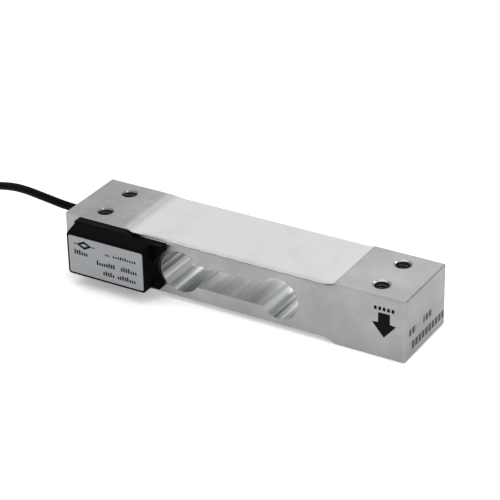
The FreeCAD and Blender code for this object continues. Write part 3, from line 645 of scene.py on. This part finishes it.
def makeLid():
    back, front = lidSet["parting"], coverLow.y
    clearSelection()
    size = Vector((coverHigh.x - coverLow.x, back - front, coverHigh.z - coverLow.z))
    middle = Vector((coverLow.x + size.x / 2, (back + front) / 2, coverLow.z + size.z / 2))
    bpy.ops.mesh.primitive_cube_add(size=1, location=middle)
    lid = bpy.context.object
    lid.scale = size
    bpy.ops.object.transform_apply(location=True, rotation=False, scale=True)
    bpy.ops.object.mode_set(mode="EDIT")
    pick(lid, "EDGE", lambda at, span: at.y > back - 1e-5 and at.z > coverHigh.z - 1e-5)
    bpy.ops.transform.translate(value=(0, 0, lidSet["rise"]))
    pick(lid, "EDGE", lambda at, span: span.y > size.y / 2)
    bpy.ops.mesh.bevel(offset=lidSet["corner"], segments=lidSet["segments"])
    pick(lid, "EDGE", lambda at, span: at.y < front + 1e-5 and span.y < 1e-6)
    bpy.ops.mesh.bevel(offset=lidSet["frontRound"], segments=4)
    pick(lid, "EDGE", lambda at, span: at.y > back - 1e-5 and span.y < 1e-6)
    bpy.ops.mesh.bevel(offset=lidSet["groove"], segments=1)
    pick(lid, "FACE", lambda at, span: at.y < front + 1e-5)
    bpy.ops.mesh.inset(thickness=lidSet["seatMargin"], depth=-lidSet["seatDepth"])
    bpy.ops.object.mode_set(mode="OBJECT")
    finishPiece(lid, "side_lid", blackPlastic)
    outwards(lid)
    bpy.ops.object.shade_smooth_by_angle(angle=math.radians(40))
    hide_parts("side_cover")


makeLid()


labelSet = {
    "corner": 0.8 * mm, "edge": 0.04 * mm, "sunk": 0.02 * mm, "thickness": 0.2 * mm,
    "rim": 0.35 * mm,  # of black left bare round the plate
    "inkThickness": 0.015 * mm, "inkCorner": 0.12 * mm,
    # rows of strokes, as plain as a ruler's: height on the plate, stroke height, and where they run
    "rows": [
        (0.585, 1.9 * mm, [(0.085, 0.27)]),
        (0.71, 1.2 * mm, [(0.50, 0.56), (0.60, 0.90)]),
        (0.44, 1.8 * mm, [(0.38, 0.64), (0.70, 0.91)]),
        (0.21, 1.8 * mm, [(0.46, 0.60), (0.65, 0.91)]),
    ],
    "stroke": (0.60 * mm, 0.94 * mm), "strokeHeights": (1.0, 0.62, 0.85, 0.62, 1.0, 0.75, 0.62),
    # four arms of a bridge circuit, the plain sign for such a sensor
    "bridge": {"at": (0.22, 0.79), "reach": 3.1 * mm, "rise": 1.6 * mm, "stroke": 0.40, "tap": 1.3 * mm},
}


def makePlate():
    clearSelection()
    front, thickness = plateLow.y + labelSet["sunk"], labelSet["thickness"]
    rim = 2 * labelSet["rim"]
    size = Vector((plateHigh.x - plateLow.x - rim, thickness, plateHigh.z - plateLow.z - rim))
    middle = (plateLow + plateHigh) / 2
    bpy.ops.mesh.primitive_cube_add(size=1, location=(middle.x, front + thickness / 2, middle.z))
    plate = bpy.context.object
    plate.scale = size
    bpy.ops.object.transform_apply(location=True, rotation=False, scale=True)
    bpy.ops.object.mode_set(mode="EDIT")
    pick(plate, "EDGE", lambda at, span: span.y > thickness / 2)
    bpy.ops.mesh.bevel(offset=labelSet["corner"], segments=6)
    pick(plate, "EDGE", lambda at, span: at.y < front + 1e-6 and span.y < 1e-6)
    bpy.ops.mesh.bevel(offset=labelSet["edge"], segments=2)
    bpy.ops.object.mode_set(mode="OBJECT")
    finishPiece(plate, "label_plate", labelPlate)
    outwards(plate)
    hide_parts("nameplate")


def inkBar(x, y, z, width, height):
    # one mark with its corners taken off, facing the front
    clearSelection()
    bpy.ops.mesh.primitive_plane_add(size=1, location=(x, y, z), rotation=(math.pi / 2, 0, 0))
    bar = bpy.context.object
    bar.scale = (width, height, 1)
    bpy.ops.object.transform_apply(location=True, rotation=True, scale=True)
    bpy.ops.object.mode_set(mode="EDIT")
    bpy.ops.mesh.select_all(action="SELECT")
    bpy.ops.mesh.bevel(offset=min(labelSet["inkCorner"], width / 3, height / 3), affect="VERTICES")
    bpy.ops.object.mode_set(mode="OBJECT")
    return bar


def joinInk(shapes, name):
    clearSelection()
    for shape in shapes:
        shape.select_set(True)
    bpy.context.view_layer.objects.active = shapes[0]
    if len(shapes) > 1:
        bpy.ops.object.join()
    ink = bpy.context.view_layer.objects.active
    applyModifier(ink, "SOLIDIFY", thickness=labelSet["inkThickness"], offset=0)
    finishPiece(ink, name, blackInk)
    outwards(ink)


def bridgeSign(x, y, z):
    # a ring of four sides with a tap left and right
    sign = labelSet["bridge"]
    clearSelection()
    bpy.ops.mesh.primitive_circle_add(
        vertices=4, radius=1, location=(x, y, z), rotation=(math.pi / 2, 0, 0))
    ring = bpy.context.object
    ring.scale = (sign["reach"], sign["rise"], 1)
    bpy.ops.object.transform_apply(location=True, rotation=True, scale=True)
    bpy.ops.object.mode_set(mode="EDIT")
    bpy.ops.mesh.select_all(action="SELECT")
    bpy.ops.mesh.extrude_edges_move(TRANSFORM_OT_translate={"value": (0, 0, 0)})
    bpy.ops.transform.resize(
        value=(sign["stroke"] * 1.25, 1, sign["stroke"]), center_override=(x, y, z))
    bpy.ops.object.mode_set(mode="OBJECT")
    offset = sign["reach"] + sign["tap"] / 2 - 0.1 * mm
    return [ring] + [inkBar(x + way * offset, y, z, sign["tap"], 0.35 * mm) for way in (-1, 1)]


def makeLabelPrint():
    width, height = plateHigh.x - plateLow.x, plateHigh.z - plateLow.z
    y = plateLow.y + labelSet["sunk"] - labelSet["inkThickness"] / 2
    marks = []
    thick, pitch = labelSet["stroke"]
    heights = labelSet["strokeHeights"]
    for level, tall, spans in labelSet["rows"]:
        foot = plateLow.z + level * height - tall / 2
        for start, end in spans:
            for k in range(round((end - start) * width / pitch)):
                strokeTall = tall * heights[(k + len(marks)) % len(heights)]
                x = plateLow.x + start * width + k * pitch + thick / 2
                marks.append(inkBar(x, y, foot + strokeTall / 2, thick, strokeTall))
    across, up = labelSet["bridge"]["at"]
    marks += bridgeSign(plateLow.x + across * width, y, plateLow.z + up * height)
    joinInk(marks, "label_print")


makePlate()
makeLabelPrint()
print("cover dressed")


# load arrow on the front, under a row of plain squares

arrowSet = {
    "x": 110.4 * mm, "top": 16.5 * mm, "head": 12.9 * mm, "tip": 7.6 * mm,
    "shaft": 4.2 * mm, "barbs": 8.6 * mm,
    "barbDrop": 0.3 * mm, "dots": 5, "dotFoot": 17.3 * mm, "dotHeight": 1.35 * mm, "dotWidth": 1.0 * mm,
    "rowWidth": 7.8 * mm, "proud": 0.005 * mm,
}


def makeArrow():
    # shaft first, then its lower edge drawn out into the barbs and down to the point
    x, y = arrowSet["x"], beamLow.y - arrowSet["proud"]
    top, head, tip = arrowSet["top"], arrowSet["head"], arrowSet["tip"]
    clearSelection()
    bpy.ops.mesh.primitive_plane_add(
        size=1, location=(x, y, (top + head) / 2), rotation=(math.pi / 2, 0, 0))
    arrow = bpy.context.object
    arrow.scale = (arrowSet["shaft"], top - head, 1)
    bpy.ops.object.transform_apply(location=True, rotation=True, scale=True)
    bpy.ops.object.mode_set(mode="EDIT")
    pick(arrow, "EDGE", lambda at, span: at.z < head + 1e-6)
    bpy.ops.mesh.extrude_edges_move(TRANSFORM_OT_translate={"value": (0, 0, -arrowSet["barbDrop"])})
    bpy.ops.transform.resize(
        value=(arrowSet["barbs"] / arrowSet["shaft"], 1, 1), center_override=(x, y, head))
    bpy.ops.mesh.extrude_edges_move(
        TRANSFORM_OT_translate={"value": (0, 0, tip - head + arrowSet["barbDrop"])})
    bpy.ops.transform.resize(value=(0.001, 1, 1), center_override=(x, y, tip))
    bpy.ops.object.mode_set(mode="OBJECT")
    joinInk([arrow], "load_arrow")


def makeDots():
    # five plain squares over the arrow
    step = arrowSet["rowWidth"] / arrowSet["dots"]
    left = arrowSet["x"] - arrowSet["rowWidth"] / 2
    z = arrowSet["dotFoot"] + arrowSet["dotHeight"] / 2
    y = beamLow.y - arrowSet["proud"]
    dots = [inkBar(left + (k + 0.5) * step, y, z, arrowSet["dotWidth"], arrowSet["dotHeight"])
            for k in range(arrowSet["dots"])]
    joinInk(dots, "load_dots")


makeArrow()
makeDots()
print("arrow printed")


# threads in the four tapped holes

threadSet = {
    "wall": 2.52 * mm, "crest": 2.22 * mm, "foot": 0.85 * mm, "land": 0.14 * mm, "pitch": 1.0 * mm,
    "clear": 0.6 * mm, "steps": 28, "along": (0.0, 106 * mm), "across": (-7.5 * mm, 7.5 * mm),
}


def makeThreads():
    # one thread is wound down a hole, and the other three are copies of it
    wall, crest, pitch = threadSet["wall"], threadSet["crest"], threadSet["pitch"]
    turns = int((beamHigh.z - beamLow.z - 2 * threadSet["clear"]) / pitch) - 1
    foot = beamLow.z + (beamHigh.z - beamLow.z - turns * pitch) / 2
    clearSelection()
    bpy.ops.mesh.primitive_plane_add(
        size=1, location=((wall + crest) / 2, 0, foot), rotation=(math.pi / 2, 0, 0))
    thread = bpy.context.object
    thread.scale = (wall - crest, threadSet["foot"], 1)
    bpy.ops.object.transform_apply(location=True, rotation=True, scale=True)
    bpy.ops.object.mode_set(mode="EDIT")
    pick(thread, "EDGE", lambda at, span: at.x < crest + 1e-6)
    bpy.ops.transform.resize(
        value=(1, 1, threadSet["land"] / threadSet["foot"]), center_override=(crest, 0, foot))
    bpy.ops.object.mode_set(mode="OBJECT")
    applyModifier(
        thread, "SCREW", angle=2 * math.pi, screw_offset=pitch, iterations=turns, steps=threadSet["steps"],
        render_steps=threadSet["steps"])
    bpy.ops.object.mode_set(mode="EDIT")
    bpy.ops.mesh.select_all(action="SELECT")
    bpy.ops.mesh.remove_doubles(threshold=1e-6)
    bpy.ops.mesh.fill_holes(sides=4)
    bpy.ops.object.mode_set(mode="OBJECT")
    holes = [(x, y) for x in threadSet["along"] for y in threadSet["across"]]
    for number, (x, y) in enumerate(holes, start=1):
        copy = bpy.data.objects.new("thread", thread.data.copy())
        bpy.context.scene.collection.objects.link(copy)
        copy.location = (x, y, 0)
        finishPiece(copy, f"hole_thread_{number}", threadPaintedShade)
        outwards(copy)
        bpy.ops.object.shade_smooth_by_angle(angle=math.radians(35))
    bpy.data.objects.remove(thread)


makeThreads()
print("threads cut")


# floor and light

studioSet = {
    "floorSize": 6.0, "floorGap": 0.1 * mm, "floorColour": "#FAFAFA", "floorGlow": 0.26,
    # the surround: brightness at the horizon, part way up and overhead
    "world": [(0.0, 0.68), (0.45, 0.80), (1.0, 0.68)],
    # softboxes: place, size and power
    "lamps": {
        "overhead": ((0.05, 0.0, 0.80), 0.80, 2.4),
        "behind": ((-0.27, 0.77, 0.52), 0.50, 0.58),
        "farSide": ((0.35, 0.56, 0.61), 0.20, 0.9),
        "front": ((-0.32, -0.42, 0.62), 0.30, 0.3),
        "side": ((0.57, -0.24, 0.40), 0.22, 0.55),
    },
}


def makeFloor():
    clearSelection()
    level = beamLow.z - studioSet["floorGap"]
    bpy.ops.mesh.primitive_plane_add(size=studioSet["floorSize"], location=(0, 0, level))
    floor = bpy.context.object
    floor.name = "floor"
    paper, shader = newMaterial("paper backdrop", Roughness=0.9, Base_Color=studioSet["floorColour"])
    shader.inputs["Specular IOR Level"].default_value = 0.0
    # lit a little from below, so its shadows stay light
    shader.inputs["Emission Color"].default_value = (1, 1, 1, 1)
    shader.inputs["Emission Strength"].default_value = studioSet["floorGlow"]
    floor.data.materials.append(paper)


def makeWorld():
    world = bpy.data.worlds.new("studio")
    world.use_nodes = True
    place = addNode(world, "ShaderNodeTexCoord")
    axes = addNode(world, "ShaderNodeSeparateXYZ", {0: (place, "Generated")})
    ramp = addNode(world, "ShaderNodeFloatCurve", {"Value": (axes, "Z")})
    stops = studioSet["world"]
    points = ramp.mapping.curves[0].points
    points[0].location = (stops[0][0], stops[0][1] / 2)
    points[1].location = (stops[-1][0], stops[-1][1] / 2)
    for height, level in stops[1:-1]:
        points.new(height, level / 2)
    ramp.mapping.update()
    full = addNode(world, "ShaderNodeMath", {0: (ramp, 0), 1: 2.0}, operation="MULTIPLY")
    background = world.node_tree.nodes["Background"]
    background.inputs["Color"].default_value = (1, 1, 1, 1)
    link(world, (full, 0), background, "Strength")
    bpy.context.scene.world = world


def makeLamps():
    aim = (beamLow + beamHigh) / 2
    for name, (place, size, power) in studioSet["lamps"].items():
        data = bpy.data.lights.new(name, "AREA")
        data.shape = "DISK"
        data.size = size
        data.energy = power
        lamp = bpy.data.objects.new(name, data)
        bpy.context.scene.collection.objects.link(lamp)
        lamp.location = place
        lamp.rotation_mode = "QUATERNION"
        lamp.rotation_quaternion = (aim - Vector(place)).to_track_quat("-Z", "Y")


makeFloor()
makeWorld()
makeLamps()
bpy.context.scene.view_settings.view_transform = "Standard"
print("studio lit")
